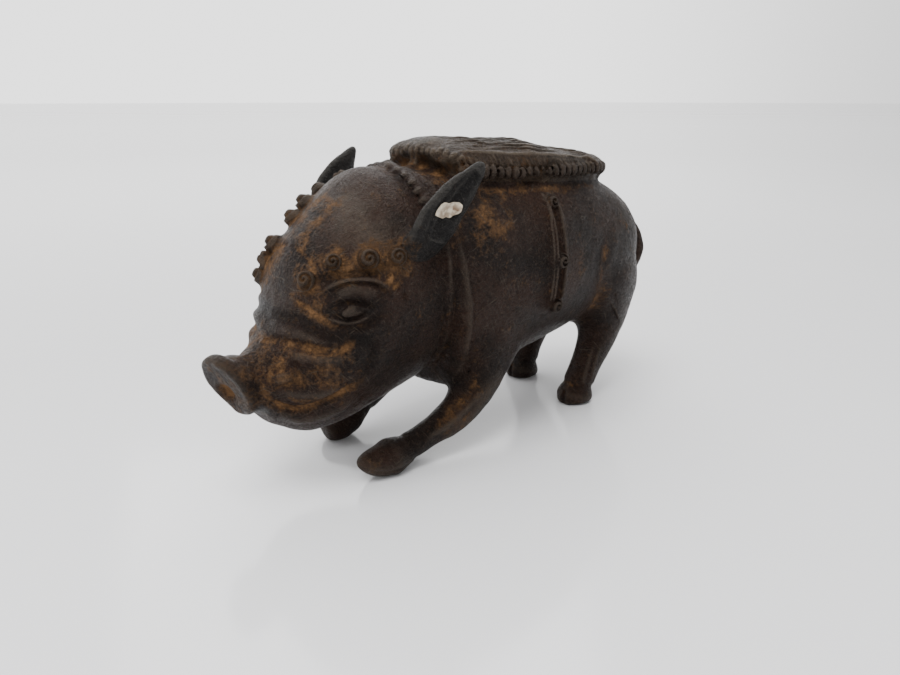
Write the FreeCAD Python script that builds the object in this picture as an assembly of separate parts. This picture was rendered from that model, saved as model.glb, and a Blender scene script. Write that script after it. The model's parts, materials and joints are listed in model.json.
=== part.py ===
"""Small cast boar figurine: trunk, head, four striding legs and the raised work upon them.

The boar faces -X with its left side towards -Y, and stands on the plane Z = 0. Stations are laid out
from the middle of its stance; the whole figure is then moved so that its bounding box is centred.
"""
import FreeCAD, Part
import math
import os
from FreeCAD import Vector

# ---- driving dimensions, millimetres ------------------------------------------------------------
STANCE_TO_CENTRE = 1.12     # how far the bounding box's middle lies in front of the stance's middle
NECK_X = -16.8              # where the neck's joint face crosses the middle of the neck
NECK_Z = 42.0
NECK_LEAN = 8.0             # degrees by which the joint face leans forward at the top
COLLAR_WIDTH = 4.6
COLLAR_SINK = 0.4           # height of the collar's flat between its two cords
COLLAR_HEIGHT = 0.9         # height of the cords
CORD_WIDTH = 1.4
DISC_CENTRE = Vector(-57.1, 0.4, 25.0)  # middle of the snout disc's back face
DISC_LEAN = 23.5            # degrees by which the disc's top leans forward
DISC_TURN = 10.0            # degrees by which the disc faces towards the left
DISC_RADIUS = 7.4           # half height
DISC_ROUNDNESS = 0.88       # width over height
DISC_DEPTH = 3.0
DISC_DRAFT = 0.5            # how much smaller the disc's back face is than its rim
DISC_LIP = 1.3              # flat rim round the dished face
DISH_DEPTH = 0.8
NOSTRIL = Vector(-1.9, 1.6, 0)      # middle of the nostril from the disc's: up, and to the right
NOSTRIL_RADII = (2.3, 2.6, 2.2)
BAND_X = 10.6               # middle of the girth bands
BAND_WIDTH = 4.4
BAND_TOP, BAND_BOTTOM = 56.5, 31.0
BAND_SINK = 0.35
BAND_HEIGHT = 0.8
EDGE_WIDTH = 1.1
STUD_RADIUS = 1.7
STUD_SIDE_Z = (54.5, 42.0, 31.6)
LABEL_THICKNESS = 0.25
TRUNK_FULLNESS = (2.5, 2.15)    # squareness of the rings' upper and lower halves; 2 is an ellipse
HEAD_FULLNESS = (2.0, 2.15)
CREST_FULLNESS = (2.2, 2.6)
BIG = 200.0                 # size of the blocks that only cut

LEFT, RIGHT = -1, 1
SIDES = {"left": LEFT, "right": RIGHT}
Y_AXIS, Z_AXIS = Vector(0, 1, 0), Vector(0, 0, 1)
ROUND = (2.0, 2.0)

# Upright rings along the body: x, z of the widest point, half width, top z, bottom z.
TRUNK = [
    (-22.0, 43.0, 13.0, 58.0, 24.0),
    (-17.0, 42.0, 17.0, 62.0, 18.0),
    (-9.0, 40.5, 19.6, 62.5, 13.0),
    (3.0, 39.5, 20.8, 61.8, 14.5),
    (16.0, 39.5, 20.8, 61.0, 17.2),
    (28.0, 39.5, 19.8, 60.0, 19.5),
    (36.5, 39.0, 18.6, 57.8, 20.5),
    (44.0, 38.5, 16.9, 55.2, 21.7),
    (50.4, 38.0, 13.4, 50.6, 25.0),
    (54.3, 38.0, 9.2, 46.0, 29.0),
    (56.3, 38.0, 4.8, 42.2, 33.6),
]
HEAD = [
    (-11.0, 42.0, 15.0, 60.0, 20.0),
    (-20.0, 42.0, 17.3, 63.4, 16.5),
    (-27.0, 40.0, 17.8, 62.8, 15.0),
    (-34.0, 38.0, 17.2, 58.8, 13.0),
    (-40.0, 35.0, 15.8, 53.2, 11.6),
    (-44.5, 32.0, 14.0, 48.0, 11.4),
    (-47.3, 29.0, 11.8, 41.6, 12.2),
    (-49.4, 27.0, 9.8, 35.4, 13.4),
    (-51.8, 25.4, 7.8, 31.4, 14.8),
    (-55.0, 24.8, 6.4, 29.8, 17.2),
    (-59.0, 24.8, 5.8, 29.4, 19.2),
]
CREST = [
    (-13.5, 63.5, 8.0, 66.0, 61.0),
    (-11.0, 63.0, 12.0, 67.4, 60.0),
    (-7.0, 62.0, 13.5, 68.0, 59.0),
    (3.0, 61.3, 14.2, 67.6, 57.5),
    (13.0, 61.0, 14.5, 67.2, 56.5),
    (23.0, 60.8, 14.2, 65.6, 56.0),
    (33.0, 60.5, 12.4, 64.0, 56.0),
    (39.0, 60.0, 9.2, 63.0, 56.5),
    (42.3, 59.7, 6.0, 61.6, 57.5),
    (43.8, 59.5, 3.0, 60.6, 58.2),
]
# Stations along each leg: x, distance out from the middle plane, z, radius in the leg's own
# fore-and-aft plane, sideways radius.
LEGS = {
    "left_front_leg": [
        (-4.0, 9.5, 32.0, 10.0, 8.0), (-3.0, 11.3, 23.0, 7.6, 6.2), (-5.2, 12.0, 15.6, 5.1, 4.9),
        (-9.8, 12.0, 10.7, 3.9, 4.2), (-15.8, 11.6, 7.4, 3.3, 3.8), (-23.3, 11.2, 5.2, 3.0, 3.4),
        (-29.5, 10.7, 3.6, 3.9, 3.7), (-34.5, 10.6, 4.0, 2.9, 2.9), (-37.7, 10.5, 5.2, 1.0, 1.1)],
    "right_front_leg": [
        (-4.0, 9.5, 30.0, 9.0, 8.0), (-6.0, 11.5, 21.5, 7.0, 6.2), (-11.0, 12.0, 15.5, 5.0, 4.8),
        (-17.0, 11.5, 10.8, 4.0, 4.0), (-23.0, 11.0, 6.6, 3.4, 3.5), (-28.5, 11.0, 3.2, 3.7, 3.7),
        (-32.2, 11.0, 2.4, 2.4, 2.6)],
    "left_rear_leg": [
        (39.5, 9.0, 32.0, 9.8, 8.5), (41.0, 10.6, 22.0, 7.8, 6.4), (38.0, 11.2, 14.5, 5.0, 4.5),
        (34.4, 11.3, 9.0, 3.9, 3.9), (32.0, 11.3, 5.0, 3.9, 4.0), (30.6, 11.3, 2.0, 4.4, 4.3),
        (30.1, 11.3, -1.0, 4.4, 4.3)],
    "right_rear_leg": [
        (39.0, 9.0, 32.0, 9.5, 8.5), (41.0, 10.6, 22.0, 7.4, 6.4), (39.3, 11.2, 14.5, 4.8, 4.5),
        (36.7, 11.3, 9.0, 3.8, 3.9), (35.2, 11.3, 5.0, 3.9, 4.0), (34.3, 11.3, 2.0, 4.4, 4.3),
        (33.9, 11.3, -1.0, 4.4, 4.3)],
}
TAIL = [
    (51.3, 3.0, 46.6, 2.0, 2.0), (55.6, 5.0, 44.6, 1.9, 1.9), (58.3, 6.8, 41.0, 1.8, 1.8),
    (58.9, 7.7, 37.0, 1.7, 1.7), (57.7, 8.3, 34.0, 1.5, 1.5), (53.8, 8.6, 31.8, 1.2, 1.2)]
# Stations along an ear: x, distance out, z, half width, half thickness.
EAR = [
    (-26.2, 14.0, 47.6, 3.0, 2.1), (-25.0, 17.5, 50.0, 4.4, 2.0), (-23.5, 19.2, 53.1, 4.9, 1.8),
    (-21.6, 20.3, 56.3, 4.3, 1.6), (-18.8, 21.0, 59.5, 3.4, 1.4), (-16.2, 21.7, 62.3, 2.3, 1.2),
    (-14.2, 22.0, 64.7, 0.9, 0.7)]
EAR_SHIFT = {LEFT: Vector(), RIGHT: Vector(1.0, 0, 0.9)}    # the right ear stands a little further back
EAR_SPREAD = (0.98, 0.15)   # direction across the ear's blade: x, and out from the middle plane
# Curls on the brow and round bosses: x and z where each stands on the side of the head, radius.
CURLS = {
    LEFT: [(-30.9, 47.8, 1.6), (-35.9, 47.7, 1.9), (-41.1, 47.2, 1.5), (-45.2, 43.9, 1.8)],
    RIGHT: [(-25.5, 59.5, 1.9), (-29.3, 57.0, 2.1), (-34.4, 55.3, 2.0), (-37.6, 52.6, 2.0),
            (-42.2, 47.8, 2.0), (-43.8, 44.6, 1.9), (-44.7, 41.4, 1.7)],
}
EYE = (-40.1, 38.7)         # x and z of the eye on the side of the head
EYE_RADII = (3.7, 1.4, 1.8)
LABEL_OUTLINE = [(-25.1, 55.5), (-24.8, 56.4), (-24.1, 57.3), (-23.4, 57.7), (-22.5, 57.5), (-21.4, 57.7),
                 (-20.0, 57.4), (-19.5, 56.9), (-19.7, 56.0), (-20.1, 55.4), (-21.0, 55.1), (-21.6, 54.6),
                 (-22.5, 55.0), (-23.3, 54.7), (-24.4, 55.1)]
NAPE_BEADS = 15
BEAD_RADIUS = 0.85
BEAD_SPAN = 46.0            # degrees either side of the top over which the beads are spread
BEAD_ROW_X = -21.2          # where the row of beads crosses the middle of the neck
TUFT_RADII = (0.95, 0.8, 1.25)
TUFT_PITCH = 2.1
TUFT_ROW = (-10.0, 39.0)    # first and last tuft along each long edge of the crest, x
TUFT_LIFT = -0.3            # height of the tufts' middles above the crest's widest line


# ---- shape helpers ------------------------------------------------------------------------------
def ring(centre, across, upward, half_width, top, bottom, fullness=ROUND, count=16):
    """Closed smooth curve round a centre; fullness above 2 squares off its upper or lower half."""
    points = []
    for i in range(count):
        angle = 2 * math.pi * i / count
        c, s = math.cos(angle), math.sin(angle)
        power = 2 / (fullness[0] if s > 0 else fullness[1])
        u = math.copysign(abs(c) ** power, c) * half_width
        v = math.copysign(abs(s) ** power, s) * (top if s > 0 else bottom)
        points.append(centre + across * u + upward * v)
    curve = Part.BSplineCurve()
    curve.interpolate(points, PeriodicFlag=True)
    return Part.Wire(curve.toShape())


def body_loft(stations, fullness, grow=0.0):
    """Solid through upright rings."""
    wires = []
    for x, z, half, top, bottom in stations:
        wires.append(ring(Vector(x, 0, z), Y_AXIS, Z_AXIS, half + grow, top - z + grow,
                          z - bottom + grow, fullness))
    return Part.makeLoft(wires, True, False)


def path_loft(stations, side, across_hint, grow=0.0):
    """Solid along a bent path, each ring square to the path."""
    points = [Vector(x, side * out, z) for x, out, z, _, _ in stations]
    last = len(points) - 1
    wires = []
    for i, (point, station) in enumerate(zip(points, stations)):
        tangent = points[min(i + 1, last)] - points[max(i - 1, 0)]
        tangent.normalize()
        thick = tangent.cross(across_hint)
        thick.normalize()
        across = thick.cross(tangent)
        wires.append(ring(point, across, thick, station[4] + grow, station[3] + grow, station[3] + grow))
    return Part.makeLoft(wires, True, False)


def ellipsoid(centre, radii):
    matrix = FreeCAD.Matrix()
    matrix.scale(*radii)
    ball = Part.makeSphere(1.0).transformGeometry(matrix)
    ball.translate(centre)
    return ball


def block(low, high):
    size = high - low
    return Part.makeBox(size.x, size.y, size.z, low)


def largest(shape):
    return max(shape.Solids, key=lambda solid: solid.Volume)


def minus(shape, *cutters):
    for cutter in cutters:
        shape = shape.cut(cutter)
    return largest(shape)


def on_skin(solid, inside, direction):
    """Where a ray from an inside point leaves the solid."""
    reach = Vector(direction).normalize() * BIG
    crossing = solid.common(Part.makeLine(inside, inside + reach))
    ends = [vertex.Point for vertex in crossing.Vertexes]
    return max(ends, key=lambda point: (point - inside).Length)


# ---- joint faces --------------------------------------------------------------------------------
def neck_slab(start, end):
    """Slab square to the neck, between two distances behind the joint face."""
    slab = block(Vector(start, -BIG, -BIG), Vector(end, BIG, BIG))
    slab.rotate(Vector(), Y_AXIS, -NECK_LEAN)
    slab.translate(Vector(NECK_X, 0, NECK_Z))
    return slab


def disc_frame(shape):
    """Lay a shape made along +Z on the disc's back face, pointing forward."""
    shape.rotate(Vector(), Y_AXIS, -90 - DISC_LEAN)
    shape.rotate(Vector(), Z_AXIS, DISC_TURN)
    shape.translate(DISC_CENTRE)
    return shape


# ---- castings -----------------------------------------------------------------------------------
def make_trunk(grow=0.0):
    return body_loft(TRUNK, TRUNK_FULLNESS, grow).common(neck_slab(0, BIG))


def make_head(grow=0.0):
    head = body_loft(HEAD, HEAD_FULLNESS, grow).common(neck_slab(-BIG, 0))
    front = disc_frame(block(Vector(-BIG, -BIG, 0), Vector(BIG, BIG, BIG)))
    return largest(head.cut(front))


def make_disc():
    matrix = FreeCAD.Matrix()
    matrix.scale(1, DISC_ROUNDNESS, 1)
    disc = Part.makeCone(DISC_RADIUS - DISC_DRAFT, DISC_RADIUS, DISC_DEPTH).transformGeometry(matrix)
    inner = DISC_RADIUS - DISC_LIP
    dish = ellipsoid(Vector(0, 0, DISC_DEPTH), (inner, inner * DISC_ROUNDNESS, DISH_DEPTH))
    nostril = ellipsoid(NOSTRIL + Vector(0, 0, DISC_DEPTH), NOSTRIL_RADII)
    return disc_frame(disc.cut(dish).cut(nostril))


def make_leg(name, trunk):
    side = LEFT if name.startswith("left") else RIGHT
    leg = path_loft(LEGS[name], side, Y_AXIS)
    ground = block(Vector(-BIG, -BIG, -BIG), Vector(BIG, BIG, 0))
    return minus(leg, ground, trunk)


def make_crest(trunk, head):
    return minus(body_loft(CREST, CREST_FULLNESS), trunk, head)


def ear_blank(side, grow=0.0):
    spread = Vector(EAR_SPREAD[0], side * EAR_SPREAD[1], 0)
    stations = [(x, out, z, thin, wide) for x, out, z, wide, thin in EAR]
    blank = path_loft(stations, side, spread, grow)
    blank.translate(EAR_SHIFT[side])
    return blank


def make_tail(trunk):
    return minus(path_loft(TAIL, LEFT, Y_AXIS), trunk)


# ---- raised work --------------------------------------------------------------------------------
def make_collar(trunk, head):
    half = COLLAR_WIDTH / 2
    flat = neck_slab(-half, half)
    cords = neck_slab(-half, CORD_WIDTH - half).fuse(neck_slab(half - CORD_WIDTH, half))
    pieces = []
    for grow, slab in ((COLLAR_SINK, flat), (COLLAR_HEIGHT, cords)):
        blank = make_trunk(grow).fuse(make_head(grow))
        pieces.append(blank.common(slab))
    return minus(pieces[0].fuse(pieces[1]), trunk, head)


def make_band(side, trunk):
    def strip(grow, near, far):
        low = Vector(BAND_X + near, 0, BAND_BOTTOM)
        high = Vector(BAND_X + far, BIG, BAND_TOP)
        if side == LEFT:
            low, high = Vector(low.x, -BIG, low.z), Vector(high.x, 0, high.z)
        return make_trunk(grow).common(block(low, high))
    half = BAND_WIDTH / 2
    band = strip(BAND_SINK, -half, half)
    band = band.fuse(strip(BAND_HEIGHT, -half, EDGE_WIDTH - half))
    band = band.fuse(strip(BAND_HEIGHT, half - EDGE_WIDTH, half))
    return minus(band, trunk)


def bosses(solid, spots, side, height=0.9):
    """Flattened balls half sunk in the side of a solid."""
    caps = []
    for x, z, radius in spots:
        skin = on_skin(solid, Vector(x, 0, z), Vector(0, side, 0))
        caps.append(minus(ellipsoid(skin, (radius, radius * height, radius)), solid))
    return caps


def make_nape_beads(collar, head, trunk):
    """Row of beads along the collar's front cord, over the top of the neck."""
    beads = []
    for i in range(NAPE_BEADS):
        angle = math.radians(BEAD_SPAN * (2 * i / (NAPE_BEADS - 1) - 1))
        inside = Vector(BEAD_ROW_X, 0, NECK_Z)
        outward = Vector(0, math.sin(angle), math.cos(angle))
        ball = Part.makeSphere(BEAD_RADIUS, on_skin(head, inside, outward), outward)
        beads.append(minus(ball, head, collar, trunk))
    return Part.makeCompound(beads)


def make_tufts():
    """Row of small upright tufts along each long edge of the crest."""
    xs, zs, halves = [[station[i] for station in CREST] for i in (0, 1, 2)]
    tufts = []
    count = round((TUFT_ROW[1] - TUFT_ROW[0]) / TUFT_PITCH) + 1
    for i in range(count):
        x = TUFT_ROW[0] + i * TUFT_PITCH
        k = max(j for j in range(len(xs) - 1) if xs[j] <= x)
        share = (x - xs[k]) / (xs[k + 1] - xs[k])
        half = halves[k] + share * (halves[k + 1] - halves[k])
        z = zs[k] + share * (zs[k + 1] - zs[k]) + TUFT_LIFT
        for side in SIDES.values():
            tufts.append(ellipsoid(Vector(x, side * half, z), TUFT_RADII))
    return tufts


def make_label(ear):
    """Torn scrap of paper stuck flat on the outer face of the left ear."""
    corners = [Vector(x, -BIG, z) for x, z in LABEL_OUTLINE]
    face = Part.Face(Part.makePolygon(corners + corners[:1]))
    prism = face.extrude(Vector(0, BIG - 19.8, 0))
    return minus(ear_blank(LEFT, LABEL_THICKNESS).common(prism), ear)


# ---- assembly -----------------------------------------------------------------------------------
def build():
    trunk, head = make_trunk(), make_head()
    parts = {"trunk_casting": trunk, "head_casting": head, "snout_disc": make_disc()}
    for name in LEGS:
        parts[name] = make_leg(name, trunk)
    parts["tail"] = make_tail(trunk)
    collar = make_collar(trunk, head)
    parts["neck_collar"] = collar
    tufts = make_tufts()
    parts["mane_crest"] = minus(make_crest(trunk, head), collar, *tufts)
    parts["crest_tufts"] = Part.makeCompound(tufts)
    for word, side in SIDES.items():
        parts[word + "_ear"] = minus(ear_blank(side), head, collar, trunk)
        parts[word + "_girth_band"] = make_band(side, trunk)
        parts[word + "_eye"] = minus(ellipsoid(on_skin(head, Vector(EYE[0], 0, EYE[1]), Vector(0, side, 0)),
                                               EYE_RADII), head)
    curls = bosses(head, CURLS[LEFT], LEFT) + bosses(head, CURLS[RIGHT], RIGHT)
    parts["brow_curls"] = Part.makeCompound(curls)
    studs = []
    for word, side in SIDES.items():
        spots = [(BAND_X, z, STUD_RADIUS) for z in STUD_SIDE_Z]
        for cap in bosses(trunk, spots, side):
            studs.append(minus(cap, parts[word + "_girth_band"]))
    parts["girth_studs"] = Part.makeCompound(studs)
    parts["nape_beads"] = make_nape_beads(collar, head, trunk)
    parts["label_scrap"] = make_label(parts["left_ear"])
    for shape in parts.values():
        shape.translate(Vector(STANCE_TO_CENTRE, 0, 0))
    return parts


if __name__ == "__main__":
    os.makedirs("parts", exist_ok=True)
    for name, shape in build().items():
        shape.exportStep("parts/" + name + ".step")
        box = shape.BoundBox
        print(name, len(shape.Solids), round(shape.Volume, 1), shape.isValid(),
              [round(v, 1) for v in (box.XMin, box.XMax, box.YMin, box.YMax, box.ZMin, box.ZMax)])
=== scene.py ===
"""Looks of the cast boar figurine.

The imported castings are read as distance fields, blended into one skin, carved with the figure's relief,
and cut back into the same pieces along the same seams. Sculpting is in millimetres, the scene in metres.
"""

import json
import math

import bpy
import numpy as np
import openvdb as vdb
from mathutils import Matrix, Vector


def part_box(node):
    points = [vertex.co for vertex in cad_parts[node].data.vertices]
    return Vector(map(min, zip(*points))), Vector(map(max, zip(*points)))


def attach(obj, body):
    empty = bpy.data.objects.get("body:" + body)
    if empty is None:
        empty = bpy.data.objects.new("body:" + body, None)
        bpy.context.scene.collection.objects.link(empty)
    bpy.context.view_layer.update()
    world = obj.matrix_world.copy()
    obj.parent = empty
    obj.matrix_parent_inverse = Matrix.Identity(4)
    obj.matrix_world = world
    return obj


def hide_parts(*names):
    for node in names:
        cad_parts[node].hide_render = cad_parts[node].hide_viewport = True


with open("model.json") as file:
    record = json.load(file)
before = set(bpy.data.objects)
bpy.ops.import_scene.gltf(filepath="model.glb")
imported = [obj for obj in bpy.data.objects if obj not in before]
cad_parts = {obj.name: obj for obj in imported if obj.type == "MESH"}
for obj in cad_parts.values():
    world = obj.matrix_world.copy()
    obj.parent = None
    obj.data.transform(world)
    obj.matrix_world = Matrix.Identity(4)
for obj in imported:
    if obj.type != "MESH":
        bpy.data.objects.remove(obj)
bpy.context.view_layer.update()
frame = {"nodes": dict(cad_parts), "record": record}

# ---- driving values, millimetres -------------------------------------------------
MM = 0.001
COARSE = 0.45               # spacing of the grid on which the big forms are blended
BAND = 6.3                  # distances are known this far from a surface
MARGIN = 3.6                # empty space kept round the whole figure and round a piece's cell
PIECE_MARGIN = 1.6          # the same on a piece's own grid
SPECK_AREA = 1.2            # loose bits with less surface than this are dropped, square millimetres
EYE_SINK = 0.5              # how far the eyes are drawn back into their sockets
PAPER = 0.2                 # how far the scrap stands off the ear
PAPER_STEP = 0.11           # spacing of the scrap's own grid
SEED = 11
LEFT, RIGHT = -1, 1
FRONT_LEGS = ["left_front_leg", "right_front_leg"]
REAR_LEGS = ["left_rear_leg", "right_rear_leg"]
LEGS = FRONT_LEGS + REAR_LEGS

# Spacing of the grid on which each piece is cut out.
PIECE_STEP = {
    "trunk_casting": 0.4, "head_casting": 0.305, "mane_crest": 0.23, "crest_tufts": 0.16, "snout_disc": 0.16,
    "left_front_leg": 0.24, "right_front_leg": 0.24, "left_rear_leg": 0.24, "right_rear_leg": 0.24,
    "tail": 0.16, "neck_collar": 0.22, "left_ear": 0.18, "right_ear": 0.18, "left_girth_band": 0.16,
    "right_girth_band": 0.16, "girth_studs": 0.14, "left_eye": 0.16, "right_eye": 0.16, "brow_curls": 0.14,
    "nape_beads": 0.14,
}
SLOT_OF = {s["node"]: s["material_slot"] for s in frame["record"]["subparts"]}


def span(name):
    """Lowest and highest corner of a node, in millimetres."""
    low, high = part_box(name)
    return np.array(low) / MM, np.array(high) / MM


def middle(name):
    low, high = span(name)
    return (low + high) / 2


def side_of(name):
    return LEFT if name.startswith("left") else RIGHT


# ---- grids -----------------------------------------------------------------------
class Grid:
    """Regular points in space, and what is needed to work on a box of them."""

    def __init__(self, low, high, step):
        self.step = step
        self.low = np.floor(np.asarray(low) / step) * step
        self.shape = tuple(np.ceil((np.asarray(high) - self.low) / step).astype(int) + 1)
        self.axes = [self.low[a] + step * np.arange(self.shape[a]) for a in range(3)]

    def window(self, low, high):
        """Slices of the box between two corners, or None where it misses the grid."""
        first = np.maximum(np.floor((np.asarray(low) - self.low) / self.step).astype(int), 0)
        last = np.minimum(np.ceil((np.asarray(high) - self.low) / self.step).astype(int) + 1, self.shape)
        if (first >= last).any():
            return None
        return tuple(slice(a, b) for a, b in zip(first, last))

    def cut(self, window):
        """The axes inside a window."""
        return [axis[part] for axis, part in zip(self.axes, window)]

    def points(self, window):
        """The x, y and z of a window's points, ready to combine."""
        x, y, z = [axis.astype(np.float32) for axis in self.cut(window)]
        return x[:, None, None], y[None, :, None], z[None, None, :]

    @property
    def whole(self):
        return tuple(slice(0, n) for n in self.shape)


def resample(values, low, step, axes):
    """Smooth cubic samples of a coarse array at other regular points, given by their axes."""
    for axis in range(3):
        at = (axes[axis] - low[axis]) / step
        base = np.floor(at).astype(int)
        t = (at - base).astype(np.float32)
        weights = ((1 - t) ** 3 / 6, (3 * t ** 3 - 6 * t ** 2 + 4) / 6,
                   (-3 * t ** 3 + 3 * t ** 2 + 3 * t + 1) / 6, t ** 3 / 6)
        shape = [1, 1, 1]
        shape[axis] = -1
        total = 0
        for k, weight in enumerate(weights):
            index = np.clip(base + k - 1, 0, values.shape[axis] - 1)
            total = total + np.take(values, index, axis) * weight.reshape(shape)
        values = total
    return values


def blur(values, passes):
    for _ in range(passes):
        for axis in range(3):
            values = np.moveaxis(values, axis, 0)
            inner = (values[:-2] + 2 * values[1:-1] + values[2:]) / 4
            values = np.concatenate([values[:1], inner, values[-1:]])
            values = np.moveaxis(values, 0, axis)
    return np.ascontiguousarray(values)


def sample(values, grid, points):
    """Values between the grid's points, by linear interpolation."""
    at = (points - grid.low) / grid.step
    base = np.clip(np.floor(at).astype(int), 0, np.array(grid.shape) - 2)
    t = at - base
    total = 0.0
    for corner in np.ndindex(2, 2, 2):
        weight = np.prod([t[:, a] if corner[a] else 1 - t[:, a] for a in range(3)], axis=0)
        i, j, k = (base + corner).T
        total = total + values[i, j, k] * weight
    return total


def gradient(values, grid, points):
    half = grid.step * 0.6
    parts = [sample(values, grid, points + half * unit) - sample(values, grid, points - half * unit)
             for unit in np.eye(3)]
    return np.stack(parts, 1) / (2 * half)


def noise(grid, window, wavelength, seed):
    """Smooth noise from about -1 to 1, the same at the same place on every grid."""
    low = WORLD.low - 2 * wavelength
    count = (np.array(WORLD.shape) * WORLD.step / wavelength + 6).astype(int)
    lattice = np.random.default_rng(seed).uniform(-1, 1, count).astype(np.float32)
    return resample(lattice, low, wavelength, grid.cut(window)) * 2


# ---- blended skin ----------------------------------------------------------------
boxes = [span(name) for name in frame["nodes"]]
WORLD = Grid(np.min([b[0] for b in boxes], 0) - MARGIN, np.max([b[1] for b in boxes], 0) + MARGIN, COARSE)


def solid_distance(mesh, grid, band):
    """Signed distance to a mesh's surface on a grid, held between -band and band."""
    mesh.calc_loop_triangles()
    points = np.empty(len(mesh.vertices) * 3, np.float32)
    mesh.vertices.foreach_get("co", points)
    corners = np.empty(len(mesh.loop_triangles) * 3, np.int32)
    mesh.loop_triangles.foreach_get("vertices", corners)
    level = vdb.FloatGrid.createLevelSetFromPolygons(
        points=points.reshape(-1, 3) / MM, triangles=corners.reshape(-1, 3).astype(np.uint32),
        transform=vdb.createLinearTransform(voxelSize=grid.step), halfWidth=band / grid.step)
    values = np.empty(grid.shape, np.float32)
    level.copyToArray(values, ijk=tuple(int(round(v / grid.step)) for v in grid.low))
    return values


def melt(a, b, width):
    """Union of two fields whose joint is filled over about the given width."""
    h = np.clip(0.5 + 0.5 * (b - a) / width, 0, 1)
    return b + (a - b) * h - width * h * (1 - h)


def melt_node(field, name, width):
    """The same union, worked out only near the node."""
    low, high = span(name)
    window = WORLD.window(low - width - 1, high + width + 1)
    field[window] = melt(field[window], NODE[name][window], width)


NODE = {name: solid_distance(frame["nodes"][name].data, WORLD, BAND) for name in frame["nodes"]
        if name != "label_scrap"}
MELT = {"left_front_leg": 4.5, "right_front_leg": 4.5, "left_rear_leg": 5.5, "right_rear_leg": 5.5,
        "snout_disc": 1.6, "tail": 1.4, "left_ear": 2.2, "right_ear": 2.2, "mane_crest": 1.4}
TRIM_MELT = {"neck_collar": 0.7, "left_girth_band": 0.4, "right_girth_band": 0.4, "left_eye": 0.7,
             "right_eye": 0.7, "girth_studs": 0.5, "crest_tufts": 0.4, "nape_beads": 0.5, "brow_curls": 0.5}
SMOOTHING = 3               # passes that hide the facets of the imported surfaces

skin = melt(NODE["trunk_casting"], NODE["head_casting"], 2.5)
for leg in LEGS:
    melt_node(skin, leg, MELT[leg])
body_only = blur(skin, SMOOTHING)
for name, width in MELT.items():
    if name not in LEGS:
        melt_node(skin, name, width)
skin = blur(skin, SMOOTHING)
for name in ("left_eye", "right_eye"):
    NODE[name] = NODE[name] + EYE_SINK
for name, width in TRIM_MELT.items():
    melt_node(skin, name, width)
skin = blur(skin, 1)


def snap(points, field=None):
    """Move rough points onto the skin."""
    field = skin if field is None else field
    points = np.array(points, float).reshape(-1, 3)
    for _ in range(6):
        slope = gradient(field, WORLD, points)
        value = sample(field, WORLD, points)
        points = points - slope * (value / np.maximum((slope ** 2).sum(1), 0.05))[:, None]
    return points


# ---- marks: ridges, grooves and mounds -------------------------------------------
marks = []                                   # path, radius, height and taper of each
# Grey washes are painted sheen and highlights; dark washes are painted shade in creases, hollows and the eye
# sockets, and also the darker tone of the bosses and the ink on the scrap; rust is the metal's own.
PAINT = {"rust": [], "grey": [], "dark": []}  # path, radius and strength of each wash of colour


def curve(points, pieces=5):
    """Smooth line through points."""
    p = np.array(points, float)
    if len(p) < 3:
        return np.linspace(p[0], p[-1], pieces + 1)
    ends = np.vstack([2 * p[0] - p[1], p, 2 * p[-1] - p[-2]])
    out = []
    for a, b, c, d in zip(ends, ends[1:], ends[2:], ends[3:]):
        for t in np.arange(pieces) / pieces:
            out.append(0.5 * (2 * b + (c - a) * t + (2 * a - 5 * b + 4 * c - d) * t ** 2
                              + (3 * b - a - 3 * c + d) * t ** 3))
    out.append(p[-1])
    return np.array(out)


def line(points, radius, height, taper=0.25, on=None, sides=(LEFT, RIGHT), rust=0.0, dark=0.0):
    """Ridge (height above 0) or groove along x, distance out, z; it follows the skin on each side."""
    for side in sides:
        path = snap(curve([(x, side * out, z) for x, out, z in points]), on)
        marks.append((path, radius, height, taper))
        # Rust along a line is the metal's own; dark along a groove is painted shade.
        for channel, strength in (("rust", rust), ("dark", dark)):
            if strength:
                PAINT[channel].append((path, radius * 1.5, strength))


def mound(x, out, z, radius, height):
    line([(x, out, z), (x + 0.02, out, z)], radius, height, 0)


def wash(channel, points, radius, strength, sides=(LEFT, RIGHT)):
    """Colour laid over an area of the skin."""
    for side in sides:
        path = snap(curve([(x, side * out, z) for x, out, z in points]))
        PAINT[channel].append((path, radius, strength))


def stub(start, end, radius, height):
    """Short mark between two points, left where they are."""
    marks.append((np.array([start, end]), radius, height, 0))


def spot(channel, start, end, radius, strength):
    """Colour round a short line, left where it is."""
    PAINT[channel].append((np.array([start, end]), radius, strength))


def carve(field, grid):
    """Apply every mark that reaches a grid."""
    for path, radius, height, taper in marks:
        reach = 2.4 * radius
        window = grid.window(path.min(0) - reach, path.max(0) + reach)
        if window is None:
            continue
        x, y, z = grid.points(window)
        best = np.full(field[window].shape, 1e9, np.float32)
        along = np.zeros_like(best)
        count = len(path) - 1
        for i, (a, b) in enumerate(zip(path, path[1:])):
            d = b - a
            size = float(d @ d) + 1e-9
            t = np.clip(((x - a[0]) * d[0] + (y - a[1]) * d[1] + (z - a[2]) * d[2]) / size, 0, 1)
            gap = (x - a[0] - t * d[0]) ** 2 + (y - a[1] - t * d[1]) ** 2 + (z - a[2] - t * d[2]) ** 2
            nearer = gap < best
            best = np.where(nearer, gap, best)
            if taper:
                along = np.where(nearer, (i + t) / count, along)
        push = height * np.exp(-best / radius ** 2)
        if taper:
            push = push * np.clip(np.minimum(along, 1 - along) / taper, 0, 1) ** 0.7
        field[window] -= push.astype(np.float32)


# ---- relief of the face ----------------------------------------------------------
# The face's relief is laid out from a point just behind and above the eye.
EYE = middle("left_eye")
FACE_X, FACE_Z = EYE[0] + 0.8, EYE[2] + 1.4


def face(points):
    """Points given as distance behind that point, distance out, and height above it."""
    return [(FACE_X + dx, out, FACE_Z + dz) for dx, out, dz in points]


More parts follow.
